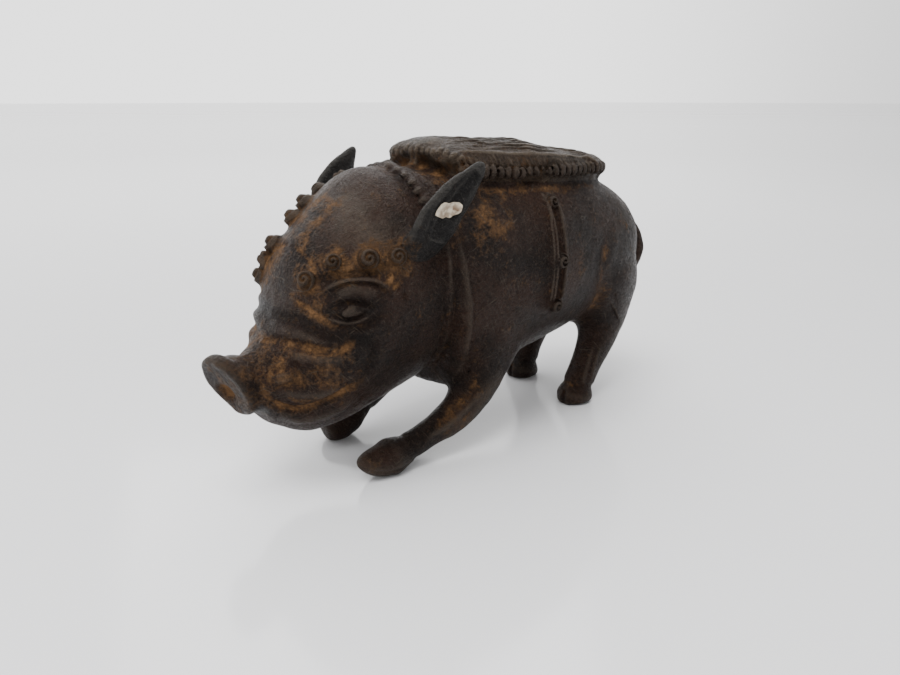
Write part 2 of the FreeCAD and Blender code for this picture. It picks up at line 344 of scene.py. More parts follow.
def sculpt_brow_and_eye():
    on = body_only
    brow = [(-4.9, 9.6, 4.4), (-2.7, 11.8, 5.0), (1.0, 13.6, 5.0), (4.2, 15.6, 5.5), (7.4, 16.6, 6.5)]
    # Dark along the brow crease, under the lid, in the slit and in the grooves below the eye is painted
    # shade.
    line(face(brow), 0.6, -0.75, on=on, dark=0.8)
    lid = [(-4.6, 11.2, 2.4), (-2.3, 12.8, 3.7), (-0.4, 13.6, 4.15), (1.5, 14.6, 4.2), (3.6, 15.6, 3.9),
           (5.1, 16.6, 3.2), (6.6, 17.2, 1.4)]
    line(face(lid), 0.42, 0.5, on=on, rust=0.45)
    line(face([(x + 0.1, out, z - 0.85) for x, out, z in lid]), 0.4, -0.45, on=on, dark=0.7)
    bulge = [(-3.0, 13.0, 1.6), (-0.6, 14.2, 2.2), (2.0, 15.4, 1.9), (4.4, 16.6, 0.9)]
    line(face(bulge), 1.35, 0.85, 0.3, on=on)
    slit = [(-5.0, 13.0, -1.2), (-2.9, 14.0, 0.1), (-0.8, 15.0, 0.35), (1.4, 16.0, -0.1), (3.6, 16.6, -1.2)]
    line(face(slit), 0.36, -0.75, dark=1.0)
    lower = [(-4.6, 13.6, -1.5), (-2.6, 14.6, -2.5), (-0.4, 15.6, -2.6), (2.6, 16.4, -1.6)]
    line(face(lower), 0.4, -0.5, dark=0.9)
    line(face([(x, out, z - 0.75) for x, out, z in lower]), 0.5, 0.22, on=on)
    below = [(-5.4, 11.6, -1.2), (-4.2, 13.8, -3.8), (-1.5, 15.6, -4.5), (2.0, 16.6, -4.1), (5.4, 17.2, -2.4)]
    line(face(below), 0.75, -0.65, on=on, dark=0.5)
    tear = [(-7.9, 7.0, 0.2), (-7.0, 9.9, -0.9), (-6.2, 11.6, -1.9), (-4.6, 13.4, -3.6)]
    line(face(tear), 0.8, -0.75, on=on, rust=0.8)
    wash("rust", face([(-8.6, 5.0, 1.6), (-7.2, 8.6, 1.2), (-5.6, 11.4, 0.0)]), 1.7, 0.5)
    # Painted shade in the eye socket.
    wash("dark", face([(-3.0, 14.0, -0.8), (0.5, 15.6, -0.2), (4.0, 16.6, -0.4)]), 2.1, 0.6)


def sculpt_folds():
    on = body_only
    upper_fold = [(-9.7, 0.0, -2.9), (-9.0, 5.9, -3.1), (-7.9, 9.5, -3.6), (-6.5, 12.3, -4.7),
                  (-3.0, 15.0, -6.2), (1.5, 16.4, -7.0)]
    # Dark along the upper fold, and along the pouch below, is painted shade.
    line(face(upper_fold), 1.05, -0.85, on=on, dark=0.9)
    roll = [(-10.9, 0.0, -5.0), (-9.9, 6.5, -5.3), (-8.2, 10.4, -5.8), (-5.0, 13.8, -7.2)]
    line(face(roll), 1.4, 0.35, on=on)
    lower_fold = [(-11.9, 0.0, -7.8), (-11.2, 3.6, -7.5), (-10.1, 7.3, -7.5), (-8.7, 10.3, -7.8),
                  (-7.0, 12.6, -8.2), (-2.0, 15.5, -8.6)]
    line(face(lower_fold), 0.9, -0.8, on=on, rust=0.45)
    line(face([(-2.6, 15.2, -8.2), (-1.2, 15.6, -7.6)]), 0.7, -0.6, 0, on=on, rust=1.0)
    cheek = [(-10.6, 7.0, -9.7), (-9.3, 9.7, -9.8), (-7.1, 12.6, -10.0), (-4.0, 14.6, -10.2),
             (-0.5, 15.6, -10.6)]
    line(face(cheek), 1.5, 0.65, on=on)
    pouch = [(1.4, 16.6, -6.4), (3.0, 17.0, -9.5), (2.6, 16.0, -13.0), (0.6, 14.6, -16.0)]
    line(face(pouch), 1.0, -0.5, on=on, dark=0.6)


def sculpt_muzzle():
    on = body_only
    # Painted shade along this groove.
    line(face([(-10.3, 9.0, -10.4), (-10.0, 10.0, -13.1), (-9.8, 10.0, -16.0)]), 0.9, -0.55, on=on, dark=0.3)
    line(face([(-12.3, 7.6, -12.5), (-12.1, 8.2, -15.0)]), 1.8, 0.5, on=on)
    line(face([(-6.0, 12.4, -12.6), (-3.0, 14.4, -13.2)]), 2.6, 0.5, on=on)
    line(face([(-7.6, 11.6, -12.0), (-7.0, 11.8, -14.6)]), 0.6, -0.35, on=on)
    lip = [(-13.0, 7.5, -16.0), (-10.0, 9.5, -17.2), (-7.0, 11.8, -17.2), (-2.6, 13.6, -16.2)]
    line(face(lip), 1.1, 0.6, on=on)
    mouth = [(-14.7, 6.3, -17.4), (-13.6, 6.7, -18.6), (-12.1, 7.2, -19.8), (-9.8, 8.7, -20.6),
             (-7.6, 10.5, -20.1), (-5.2, 12.3, -18.7), (-2.6, 13.5, -17.3), (0.6, 14.5, -15.9)]
    line(face(mouth), 0.75, -1.25, on=on, rust=0.75)
    lower_lip = [(-12.8, 6.3, -21.6), (-9.3, 7.5, -23.2), (-6.2, 9.9, -22.8), (-1.8, 12.1, -20.8),
                 (0.8, 13.5, -18.3)]
    line(face(lower_lip), 1.2, 0.7, on=on)
    wash("rust", face([(-14.0, 3.0, -11.5), (-13.2, 6.4, -11.6), (-12.4, 7.6, -15.0)]), 1.8, 0.45)
    wash("rust", face([(-11.6, 5.0, -8.8), (-7.0, 12.0, -9.4), (-3.0, 15.0, -9.2)]), 1.7, 0.5)
    wash("rust", face([(-12.6, 3.0, -10.5), (-11.0, 8.0, -13.0), (-6.0, 12.5, -13.6)]), 4.2, 0.55)
    wash("rust", face([(-9.4, 8.0, -18.0), (-5.0, 12.4, -17.6)]), 2.6, 0.5)
    for dx, out, dz in ((2.3, 13.0, -19.5), (5.4, 11.0, -22.0), (0.6, 14.4, -13.6), (7.8, 17.6, 2.2),
                        (6.8, 17.4, 4.6), (9.6, 17.6, 0.4)):
        mound(*face([(dx, out, dz)])[0], 0.7, -0.4)
    for dx, out, dz in ((7.8, 17.6, 2.2), (10.4, 17.6, 4.4), (6.4, 17.0, 3.2)):
        wash("rust", face([(dx, out, dz), (dx + 0.6, out, dz + 0.8)]), 0.9, 0.9)


def sculpt_forehead():
    on = body_only
    dome = [(-4.3, 0.0, 9.5), (-4.3, 3.0, 8.9), (-4.2, 6.3, 7.6), (-4.6, 9.0, 5.4)]
    line(face(dome), 0.6, -0.3, on=on)
    line(face([(1.5, 0.0, 14.6), (-1.5, 0.0, 12.4)]), 4.5, 0.35, 0, on=on, sides=(LEFT,))
    # Painted sheen on the forehead.
    wash("grey", face([(5.5, 6.0, 17.0), (4.5, 11.0, 12.5), (6.5, 13.0, 11.0)]), 4.5, 0.75)
    wash("rust", face([(-3.5, 8.5, 7.6), (1.0, 13.0, 7.9), (5.5, 15.6, 8.2), (8.6, 16.8, 10.0)]), 1.6, 0.42)
    wash("rust", face([(2.0, 2.5, 17.0), (-4.0, 3.5, 10.5), (-6.5, 6.0, 5.5)]), 3.0, 0.6)
    wash("rust", face([(-5.6, 6.5, 8.0), (-7.4, 7.0, 3.0)]), 3.2, 0.6)
    # Painted shade over the cheek and the back of the jaw.
    wash("dark", face([(6.0, 17.5, -6.0), (9.0, 17.0, -10.0), (6.0, 14.0, -17.0)]), 5.0, 0.35)


def sculpt_snout():
    disc = middle("snout_disc")
    crease = [(3.4, 0.0, 5.9), (3.4, 3.4, 4.9), (3.3, 5.6, 2.6), (3.4, 6.5, -0.6), (4.6, 6.3, -3.4)]
    line([(disc[0] + dx, out, disc[2] + dz) for dx, out, dz in crease], 1.1, -0.6, on=body_only, rust=0.4)
    spot("rust", disc + (-1.2, 1.6, -2.4), disc + (0.6, 1.9, -1.4), 2.1, 1.4)
    spot("rust", disc + (-1.5, -2.0, -3.0), disc + (-1.5, -2.0, 3.0), 5.0, 0.6)
    # Painted shade in the snout disc's dish.
    spot("dark", disc + (-2.5, -2.5, 4.0), disc + (-1.5, -4.0, -2.0), 3.4, 0.8)


def spiral(field, grid, centre, outward, radius, turn):
    """Coiled curl: a low mound with one ridge winding in to its middle."""
    window = grid.window(centre - 1.5 * radius, centre + 1.5 * radius)
    if window is None:
        return
    across = np.cross(outward, (0.0, 0.0, 1.0))
    across /= np.linalg.norm(across)
    upward = np.cross(across, outward)
    x, y, z = grid.points(window)
    dx, dy, dz = x - centre[0], y - centre[1], z - centre[2]
    u = dx * across[0] + dy * across[1] + dz * across[2]
    v = dx * upward[0] + dy * upward[1] + dz * upward[2]
    rho = np.sqrt(u * u + v * v)
    angle = np.arctan2(v, u) * turn
    warp = 0.9 * noise(grid, window, 2.1, SEED + 7)
    coils = np.cos(angle + 2 * math.pi * rho / (radius * 0.68) + warp)
    edge = np.clip((1.15 * radius - rho) / (0.3 * radius), 0, 1)
    field[window] -= ((0.24 * coils + 0.25) * edge).astype(np.float32)


def joined(count, a, b):
    """Label each point by the lowest one that the edges from a to b join it to."""
    label = np.arange(count)
    while True:
        fresh = label.copy()
        np.minimum.at(fresh, a, label[b])
        np.minimum.at(fresh, b, label[a])
        fresh = fresh[fresh]
        if (fresh == label).all():
            return label
        label = fresh


def islands(name):
    """Middle and half size of each separate solid in a node."""
    mesh = frame["nodes"][name].data
    flat = np.empty(len(mesh.vertices) * 3, np.float32)
    mesh.vertices.foreach_get("co", flat)
    points, place = np.unique(np.round(flat.reshape(-1, 3) / MM, 3), axis=0, return_inverse=True)
    ends = np.empty(len(mesh.edges) * 2, np.int32)
    mesh.edges.foreach_get("vertices", ends)
    a, b = place.ravel()[ends].reshape(-1, 2).T
    label = joined(len(points), a, b)
    groups = [points[label == value] for value in np.unique(label)]
    return [((g.min(0) + g.max(0)) / 2, (g.max(0) - g.min(0)) / 2) for g in groups]


def ring(centre, direction, radius, width, height, leg):
    """Ridge or groove right round a leg."""
    direction = np.array(direction, float) / np.linalg.norm(direction)
    across = np.cross(direction, (0.0, 1.0, 0.0))
    across /= np.linalg.norm(across)
    other = np.cross(direction, across)
    turns = np.linspace(0, 2 * math.pi, 25)
    path = [np.array(centre) + radius * (math.cos(t) * across + math.sin(t) * other) for t in turns]
    marks.append((snap(path, NODE[leg]), width, height, 0))


# ---- relief of the mane crest ----------------------------------------------------
TUFTS = islands("crest_tufts")
TUFT_X = np.array(sorted({round(float(c[0]), 2) for c, _ in TUFTS}))
TUFT_OUT = np.array([max(abs(c[1]) for c, _ in TUFTS if abs(c[0] - x) < 0.1) for x in TUFT_X])
TUFT_Z = np.array([max(c[2] for c, _ in TUFTS if abs(c[0] - x) < 0.1) for x in TUFT_X])
CREST_LOW, CREST_HIGH = span("mane_crest")


def on_crest(x, share):
    """Point on the crest's top, at a share of the way from its middle line to its edge."""
    out = np.interp(x, TUFT_X, TUFT_OUT) * share
    rim = np.interp(x, TUFT_X, TUFT_Z)
    crown = np.interp(x, [CREST_LOW[0], CREST_LOW[0] + 6, CREST_HIGH[0]],
                      [CREST_HIGH[2] - 2, CREST_HIGH[2], TUFT_Z[-1]])
    return x, out, rim + (crown - rim) * (1 - share ** 3)


def carve_hair(side, rng):
    """Long wavy strands on the crest's top, and short ones that comb down to its rim."""
    crest = NODE["mane_crest"]
    front, rear = CREST_LOW[0] + 1.5, CREST_HIGH[0] - 2.0
    for share in np.linspace(0.05, 0.72, 9):
        start, end = front + rng.uniform(0, 3), rear - 6 * share - rng.uniform(0, 4)
        wave = rng.uniform(0, 6.3)
        strand = [on_crest(x, share + 0.035 * math.sin(0.35 * x + wave)) for x in np.linspace(start, end, 9)]
        # Dark along each strand's groove is painted shade.
        line(strand, 0.36, -0.5 - 0.2 * rng.random(), 0.2, crest, (side,), dark=0.35)
    rim = [on_crest(x, 0.8) for x in np.linspace(front + 2, rear - 4, 9)]
    line(rim, 0.55, 0.38, 0.1, crest, (side,))
    for x in np.arange(TUFT_X[0] - 0.8, TUFT_X[-1] + 1.0, 1.05):
        lean = rng.uniform(1.6, 2.4)
        strand = [on_crest(x - lean, 0.83), on_crest(x - 0.4 * lean, 0.93), on_crest(x, 1.0)]
        line(strand, 0.34, -0.4, 0.3, crest, (side,))


def carve_tufts(side, rng):
    """Uneven locks over the tufts, with a cut between each two."""
    for x in TUFT_X:
        out, z = np.interp(x, TUFT_X, TUFT_OUT), np.interp(x, TUFT_X, TUFT_Z)
        lean, tall = rng.uniform(-0.7, 0.3), rng.uniform(1.2, 1.9)
        lock = [(x - lean, out, z - 1.5), (x, out + 0.5, z), (x + lean, out, z + tall)]
        line(lock, rng.uniform(0.4, 0.65), rng.uniform(0.3, 0.75), 0.3, None, (side,))
        cut = [(x + 1.0 - lean, out, z - 1.3), (x + 1.0, out, z + 0.4)]
        # Painted shade in the cut between two locks.
        line(cut, 0.3, -0.5, 0.2, None, (side,), dark=0.7)


def carve_crest_front(rng):
    """Small knobs along the front rim, and the hollow under it."""
    crest = NODE["mane_crest"]
    edge = []
    for out in np.arange(0.8, TUFT_OUT[0] + 0.5, 1.55):
        share = out / (TUFT_OUT[0] + 1)
        x = CREST_LOW[0] + 0.6 + 3.2 * share ** 3
        z = CREST_HIGH[2] - 2.6 - 1.6 * share ** 2
        edge.append((x, out, z))
        for tip in snap([(x, s * out, z + rng.uniform(-0.3, 0.3)) for s in (LEFT, RIGHT)], crest):
            stub(tip, tip + (0.6, 0, 0.5), 0.6, 0.42)
    line([(x + 0.3, out, z - 1.9) for x, out, z in edge], 1.5, -1.5, 0.1, crest, rust=0.7)


def carve_swirl():
    """Three rings of hair on the crest's left shoulder."""
    x, out, z = on_crest(CREST_LOW[0] + 9.5, 0.62)
    turns = np.linspace(0, 2 * math.pi, 13)
    for radius in (0.7, 1.6, 2.5):
        path = [(x + 1.5 * radius * math.cos(t), out + radius * math.sin(t), z) for t in turns]
        line(path, 0.36, -0.45, 0, NODE["mane_crest"], (LEFT,))


def sculpt_crest():
    rng = np.random.default_rng(SEED)
    for side in (LEFT, RIGHT):
        carve_hair(side, rng)
        carve_tufts(side, rng)
    carve_swirl()
    carve_crest_front(rng)
    for centre, _ in islands("nape_beads"):
        stub(centre, centre + (0.5, 0, 0.2), 0.7, 0.55)
        spot("dark", centre, centre, 0.9, 0.6)
    base = [(x, np.interp(x, TUFT_X, TUFT_OUT), np.interp(x, TUFT_X, TUFT_Z) - 4.6) for x in TUFT_X[::3]]
    wash("rust", base, 1.2, 0.55)
    collar = middle("neck_collar")[0]
    wash("rust", [(collar + 4, 0.0, 63.5), (collar + 3, 7.0, 62.5), (collar + 3, 12.0, 59.0)], 3.0, 0.5)
    wash("rust", [(collar + 7, 18.0, 52.5), (collar + 9.5, 18.0, 49.5)], 4.0, 0.6)


# ---- relief of the ears, straps, legs and body -----------------------------------
def ear_slices(name):
    """Middle line and leading edge of an ear, from the root up."""
    low, high = span(name)
    field = NODE[name]
    mid, lead = [], []
    for z in np.linspace(low[2] + 3.5, high[2] - 2.5, 7):
        k = int(round((z - WORLD.low[2]) / COARSE))
        i, j = np.nonzero(field[:, :, k] < 0)
        x, y = WORLD.axes[0][i], WORLD.axes[1][j]
        mid.append((x.mean(), y.mean(), z))
        lead.append((x.min() + 0.4, y[x < x.min() + 1.2].mean(), z))
    return np.array(mid), np.array(lead)


def sculpt_ear(name):
    """Hollow of the ear's outer face, with a rolled leading edge."""
    mid, lead = ear_slices(name)
    field = NODE[name]
    hollow = snap(mid + np.array([0.3, 3.0 * side_of(name), 0]), field)
    marks.append((curve(hollow[:4]), 2.2, -1.1, 0.2))
    marks.append((curve(hollow[2:]), 1.4, -0.8, 0.2))
    marks.append((curve(lead), 0.8, 0.5, 0.15))
    inner = lead + (hollow - lead) * 0.45
    marks.append((curve(snap(inner, field)), 0.5, -0.35, 0.15))


def sculpt_straps():
    low, high = span("left_girth_band")
    x, half, out = (low[0] + high[0]) / 2, (high[0] - low[0]) / 2, -low[1]
    heights = np.linspace(high[2] - 0.5, low[2] + 2.0, 8)
    edges = [(-half + 0.1, 0.27, 0.34), (-half + 0.8, 0.25, 0.3), (half - 0.8, 0.25, 0.3),
             (half - 0.1, 0.27, 0.34)]
    grain = [(offset, 0.3, -0.16) for offset in (-0.55, 0.1, 0.7)]
    for offset, radius, height in edges + grain:
        line([(x + offset, out - 2, z) for z in heights], radius, height, 0.05)


def sculpt_body():
    leg = middle("left_rear_leg")
    crease = [(-5.5, 18.6, 30.3), (-9.0, 19.8, 26.2), (-10.2, 19.9, 21.5), (-8.6, 18.6, 14.9),
              (-6.8, 15.1, 9.2), (-3.5, 9.5, 3.5)]
    line([(leg[0] + dx, out, leg[2] + dz) for dx, out, dz in crease], 2.3, -0.75, 0.3, body_only)
    wash("rust", [(leg[0] + dx, out, leg[2] + dz) for dx, out, dz in crease[1:5]], 1.8, 0.4)
    thigh = [(0.5, 17.5, 24.0), (-0.5, 16.5, 16.0), (-1.0, 13.5, 8.0)]
    line([(leg[0] + dx, out, leg[2] + dz) for dx, out, dz in thigh], 4.5, 0.5, 0.2, body_only)


def sculpt_rear_leg(name):
    """Ankle groove, hoof, the cut at its front, and two tendons."""
    side, leg, (low, high) = side_of(name), NODE[name], span(name)
    sole = WORLD.window((low[0] - 2, low[1], 0.5), (high[0], high[1], 1.0))
    i, j, _ = np.nonzero(leg[sole] < 0)
    x, y = WORLD.axes[0][sole[0]][i].mean(), WORLD.axes[1][sole[1]][j].mean()
    out, up = side * y, (0.25, 0, 1)
    ring((x + 1.0, y, 4.6), up, 3.6, 0.7, -0.45, name)
    ring((x + 0.3, y, 2.0), up, 4.2, 1.2, 0.4, name)
    line([(x - 4.3, out, 3.6), (x - 4.6, out, 0.6)], 0.5, -0.5, 0, leg, (side,))
    for shift, height in ((-1.6, 0.3), (1.4, 0.25)):
        tendon = [(x + shift + 4, out + 4, 16), (x + shift + 1.6, out + 4, 10), (x + shift + 0.6, out + 4, 6)]
        line(tendon, 0.7, height, 0.3, leg, (side,))
    # Painted highlight: a light streak down the leg.
    wash("grey", [(high[0] - 7, 16, 24), (high[0] - 9, 15, 14)], 1.8, 0.5, (side,))


def sculpt_front_leg(name):
    """Wrist groove, hoof, its edge and heel, a long muscle with a groove, and painted highlights on the upper
    leg and along the hoof's edge.
    """
    side, leg, toe, foot = side_of(name), NODE[name], span(name)[0][0], 10.9
    ring((toe + 12.6, side * foot, 5.6), (1, 0, 0.3), 3.2, 0.8, -0.4, name)
    ring((toe + 8.6, side * foot, 3.8), (1, 0, 0.1), 3.7, 1.5, 0.35, name)
    edge = [(toe + 1.5, 13.0, 3.0), (toe + 6, 14.6, 1.5), (toe + 11.0, 14.6, 2.2)]
    line(edge, 0.5, -0.4, 0.2, leg, (side,))
    line([(toe + 11.8, foot, 1.8), (toe + 12.8, foot, 2.4)], 1.3, -0.7, 0, leg, (side,))
    muscle = [(toe + 30, 17, 15), (toe + 23, 16, 10), (toe + 15, 14.6, 6.6)]
    line(muscle, 0.8, 0.3, 0.3, leg, (side,))
    groove = [(toe + 31.5, 17, 14), (toe + 24.5, 16, 8.6), (toe + 16, 14.6, 5.2)]
    line(groove, 0.8, -0.3, 0.3, leg, (side,))
    # Painted highlights: on the upper leg and along the hoof's edge.
    wash("grey", [(toe + 34, 17, 16), (toe + 29, 16, 11), (toe + 22, 15, 7)], 2.2, 0.7, (side,))
    wash("grey", [(toe + 2, 13, 2.6), (toe + 6, 14.5, 1.6), (toe + 10.5, 14.5, 2.4)], 1.3, 0.8, (side,))
    wash("rust", [(toe + 29, 16, 17), (toe + 20, 15, 10)], 1.6, 0.4, (side,))


def sculpt_pits():
    """Scattered small casting pits."""
    rng = np.random.default_rng(SEED + 1)
    low, high = span("trunk_casting")
    for _ in range(150):
        point = snap([(rng.uniform(low[0], high[0]), rng.choice([LEFT, RIGHT]) * 20,
                       rng.uniform(low[2] + 4, high[2] - 6))], body_only)[0]
        stub(point, point + rng.uniform(-0.6, 0.6, 3), rng.uniform(0.25, 0.5), -rng.uniform(0.08, 0.2))


sculpt_brow_and_eye()
sculpt_folds()
sculpt_muzzle()
sculpt_forehead()
sculpt_snout()
sculpt_crest()
sculpt_ear("left_ear")
sculpt_ear("right_ear")
sculpt_straps()
sculpt_body()
for name in FRONT_LEGS:
    sculpt_front_leg(name)
for name in REAR_LEGS:
    sculpt_rear_leg(name)
sculpt_pits()
CURLS = islands("brow_curls")
STUDS = islands("girth_studs")
for centre, size in CURLS:
    spot("rust", centre, centre + (0.4, 0, -0.9), 3.6, 0.8)
    spot("dark", centre, centre, 2.0, 0.6)
for centre, size in STUDS:
    spot("dark", centre, centre, 1.8, 0.4)
scrap = middle("label_scrap")
spot("dark", scrap + (-0.7, 0, -0.6), scrap + (1.0, 0, -0.2), 1.8, 1.0)


# Unevenness of the casting, as wavelength, depth and seed: all over, and more on the crest.
SKIN_NOISE = ((8.0, 0.22, 2), (3.4, 0.12, 3), (1.5, 0.07, 4), (0.8, 0.03, 5))
CREST_NOISE = ((5.0, 0.4, 20), (2.3, 0.34, 21), (1.2, 0.14, 22))
CREST_SKIN = np.clip(1.2 - np.minimum(NODE["mane_crest"], NODE["crest_tufts"]), 0, 1)


def detail(field, grid):
    """Everything finer than the blended forms, on a piece's own grid."""
    carve(field, grid)
    window = grid.window(CREST_LOW - 3, CREST_HIGH + 3)
    if window is not None:
        rough = resample(CREST_SKIN, WORLD.low, COARSE, grid.cut(window))
        for size, depth, seed in CREST_NOISE:
            field[window] -= rough * depth * noise(grid, window, size, SEED + seed)
    for i, (centre, size) in enumerate(CURLS):
        outward = centre - np.array([centre[0] + 8, 0, centre[2] - 6])
        spiral(field, grid, centre, outward / np.linalg.norm(outward), size.max(), 1 if i % 2 else -1)
    for centre, size in STUDS:
        outward = np.array([0, np.sign(centre[1]), 0.0])
        spiral(field, grid, centre, outward, size.max(), 1)
    for size, depth, seed in SKIN_NOISE:
        field -= depth * noise(grid, grid.whole, size, SEED + seed)
    np.maximum(field, -grid.points(grid.whole)[2], out=field)


# ---- pieces ----------------------------------------------------------------------
def cell_of(name):
    """Field that is below 0 where a node is nearer than every other one."""
    low, high = span(name)
    window = WORLD.window(low - MARGIN, high + MARGIN)
    others = np.full(NODE[name][window].shape, BAND, np.float32)
    for other in NODE:
        if other != name:
            others = np.minimum(others, NODE[other][window])
    return (NODE[name][window] - others) / 2, [WORLD.axes[a][window[a].start] for a in range(3)]


def without_spikes(inside):
    """The inside points, less those that hang on by one neighbour or none."""
    for _ in range(2):
        neighbours = np.zeros(inside.shape, np.uint8)
        for axis in range(3):
            count, within = np.moveaxis(neighbours, axis, 0), np.moveaxis(inside, axis, 0)
            count[1:] += within[:-1]
            count[:-1] += within[1:]
        inside = inside & (neighbours > 1)
    return inside


def crossings(cells, both, field, gate, grid):
    """Mean place where each cell's edges cross the surface, and whether that is skin, seam or both."""
    total = np.zeros((len(cells), 3))
    hits = np.zeros(len(cells))
    skin_hits = np.zeros(len(cells))
    for axis in range(3):
        step = np.eye(3, dtype=int)[axis]
        for p, q in np.ndindex(2, 2):
            offset = np.insert([p, q], axis, 0)
            a, b = tuple((cells + offset).T), tuple((cells + offset + step).T)
            va, vb = both[a], both[b]
            cross = (va < 0) != (vb < 0)
            t = np.where(cross, va / np.where(cross, va - vb, 1), 0)
            total += np.where(cross[:, None], offset + t[:, None] * step, 0)
            hits += cross
            on_skin = field[a] * (1 - t) + field[b] * t >= gate[a] * (1 - t) + gate[b] * t
            skin_hits += cross & on_skin
    return grid.low + grid.step * (cells + total / hits[:, None]), skin_hits > 0, skin_hits < hits


def settle(points, field, gate, grid, on_field, on_gate):
    """Move points onto the exact surface, and those at a seam's edge onto both surfaces."""
    for _ in range(3):
        vf, gf = sample(field, grid, points), gradient(field, grid, points)
        vg, gg = sample(gate, grid, points), gradient(gate, grid, points)
        ff, gg2, fg = (gf ** 2).sum(1), (gg ** 2).sum(1), (gf * gg).sum(1)
        det = ff * gg2 - fg ** 2
        pair = on_field & on_gate & (det > 0.15 * ff * gg2)
        safe = np.where(pair, det, 1)
        kf = np.where(pair, (vf * gg2 - vg * fg) / safe, np.where(on_field, vf / np.maximum(ff, 0.1), 0))
        kg = np.where(pair, (vg * ff - vf * fg) / safe, np.where(on_field, 0, vg / np.maximum(gg2, 0.05)))
        move = kf[:, None] * gf + kg[:, None] * gg
        size = np.linalg.norm(move, axis=1, keepdims=True)
        points = points - move * np.minimum(1, 0.7 * grid.step / np.maximum(size, 1e-9))
    return points


def quads_round(inside, index):
    """A quad, facing out, across every grid edge that has one end inside."""
    quads = []
    for axis in range(3):
        b, c = [a for a in range(3) if a != axis]
        lower = [slice(1, n - 1) for n in inside.shape]
        lower[axis] = slice(0, inside.shape[axis] - 1)
        upper = list(lower)
        upper[axis] = slice(1, inside.shape[axis])
        at = np.argwhere(inside[tuple(lower)] != inside[tuple(upper)]) + [s.start for s in lower]
        around = []
        for db, dc in ((-1, -1), (0, -1), (0, 0), (-1, 0)):
            cell = at.copy()
            cell[:, b] += db
            cell[:, c] += dc
            around.append(index[tuple(cell.T)])
        faces = np.stack(around, 1)
        flip = inside[tuple(at.T)] != (axis == 1)
        quads.append(np.where(flip[:, None], faces, faces[:, ::-1]))
    return np.concatenate(quads)


def drop_specks(count, quads, step):
    """Numbers of the points that stay, and the quads on them."""
    label = joined(count, quads.ravel(), np.roll(quads, 1, axis=1).ravel())[quads[:, 0]]
    quads = quads[np.bincount(label)[label] * step ** 2 > SPECK_AREA]
    kept, quads = np.unique(quads, return_inverse=True)
    return kept, quads.reshape(-1, 4)


def net(field, gate, grid):
    """Points, closed quads and normals of the solid inside both fields."""
    both = np.maximum(field, gate)
    inside = without_spikes(both < 0)
    both[(both < 0) & ~inside] = 0.01 * grid.step
    mixed = np.zeros(tuple(n - 1 for n in grid.shape), np.uint8)
    for c in np.ndindex(2, 2, 2):
        mixed += inside[tuple(slice(o, n - 1 + o) for o, n in zip(c, grid.shape))]
    cells = np.argwhere((mixed > 0) & (mixed < 8))
    index = np.full(mixed.shape, -1, np.int32)
    index[tuple(cells.T)] = np.arange(len(cells))
    points, on_field, on_gate = crossings(cells, both, field, gate, grid)
    points = settle(points, field, gate, grid, on_field, on_gate)
    normals = gradient(field, grid, points)
    normals /= np.maximum(np.linalg.norm(normals, axis=1, keepdims=True), 1e-6)
    kept, quads = drop_specks(len(points), quads_round(inside, index), grid.step)
    return points[kept], quads, normals[kept]


def paint_values(points, channel):
    """Strength of a painted channel at each point."""
    value = np.zeros(len(points), np.float32)
    for path, radius, strength in PAINT[channel]:
        reach = 2.5 * radius
        near = np.flatnonzero(((points > path.min(0) - reach) & (points < path.max(0) + reach)).all(1))
        if not len(near):
            continue
        best = np.full(len(near), 1e9)
        for a, b in zip(path, path[1:]):
            d = b - a
            t = np.clip((points[near] - a) @ d / (d @ d + 1e-9), 0, 1)
            best = np.minimum(best, ((points[near] - a - t[:, None] * d) ** 2).sum(1))
        value[near] = np.maximum(value[near], strength * np.exp(-best / radius ** 2))
    return value


def make_piece(name):
    low, high = span(name)
    step = PIECE_STEP[name] * 1.0
    grid = Grid(low - PIECE_MARGIN, high + PIECE_MARGIN, step)
    field = resample(skin, WORLD.low, COARSE, grid.axes)
    gate, corner = cell_of(name)
    gate = resample(gate, corner, COARSE, grid.axes)
    detail(field, grid)
    points, quads, normals = net(field, gate, grid)
    hollow = (sample(field, grid, points) - sample(blur(field, 4), grid, points)) / grid.step ** 2
    build_object(name, points, quads, normals, hollow)


def make_label():
    """Thin scrap of torn paper that follows the ear under it."""
    low, high = span("label_scrap")
    grid = Grid(low - (0.8, 2.0, 0.8), high + (0.8, 1.2, 0.8), PAPER_STEP)
    mesh = frame["nodes"]["label_scrap"].data
    flat = solid_distance(mesh, grid, 1.5).min(axis=1, keepdims=True)
    outline = blur(np.repeat(np.where(flat < 0.02, -0.5, 0.5), grid.shape[1], 1).astype(np.float32), 3)
    outline += 0.22 * noise(grid, grid.whole, 0.8, SEED + 9) + 0.12 * noise(grid, grid.whole, 0.4, SEED + 10)
    ear = resample(skin, WORLD.low, COARSE, grid.axes)
    detail(ear, grid)
    ear = blur(ear, 3)
    field = np.maximum(ear - PAPER, -0.1 - ear)
    points, quads, normals = net(field, outline, grid)
    build_object("label_scrap", points, quads, normals, np.zeros(len(points)))


# Pieces that stay darker than the skin round them.
DARKER_PIECES = {"brow_curls": 0.75, "nape_beads": 0.5, "girth_studs": 0.6, "crest_tufts": 0.2}


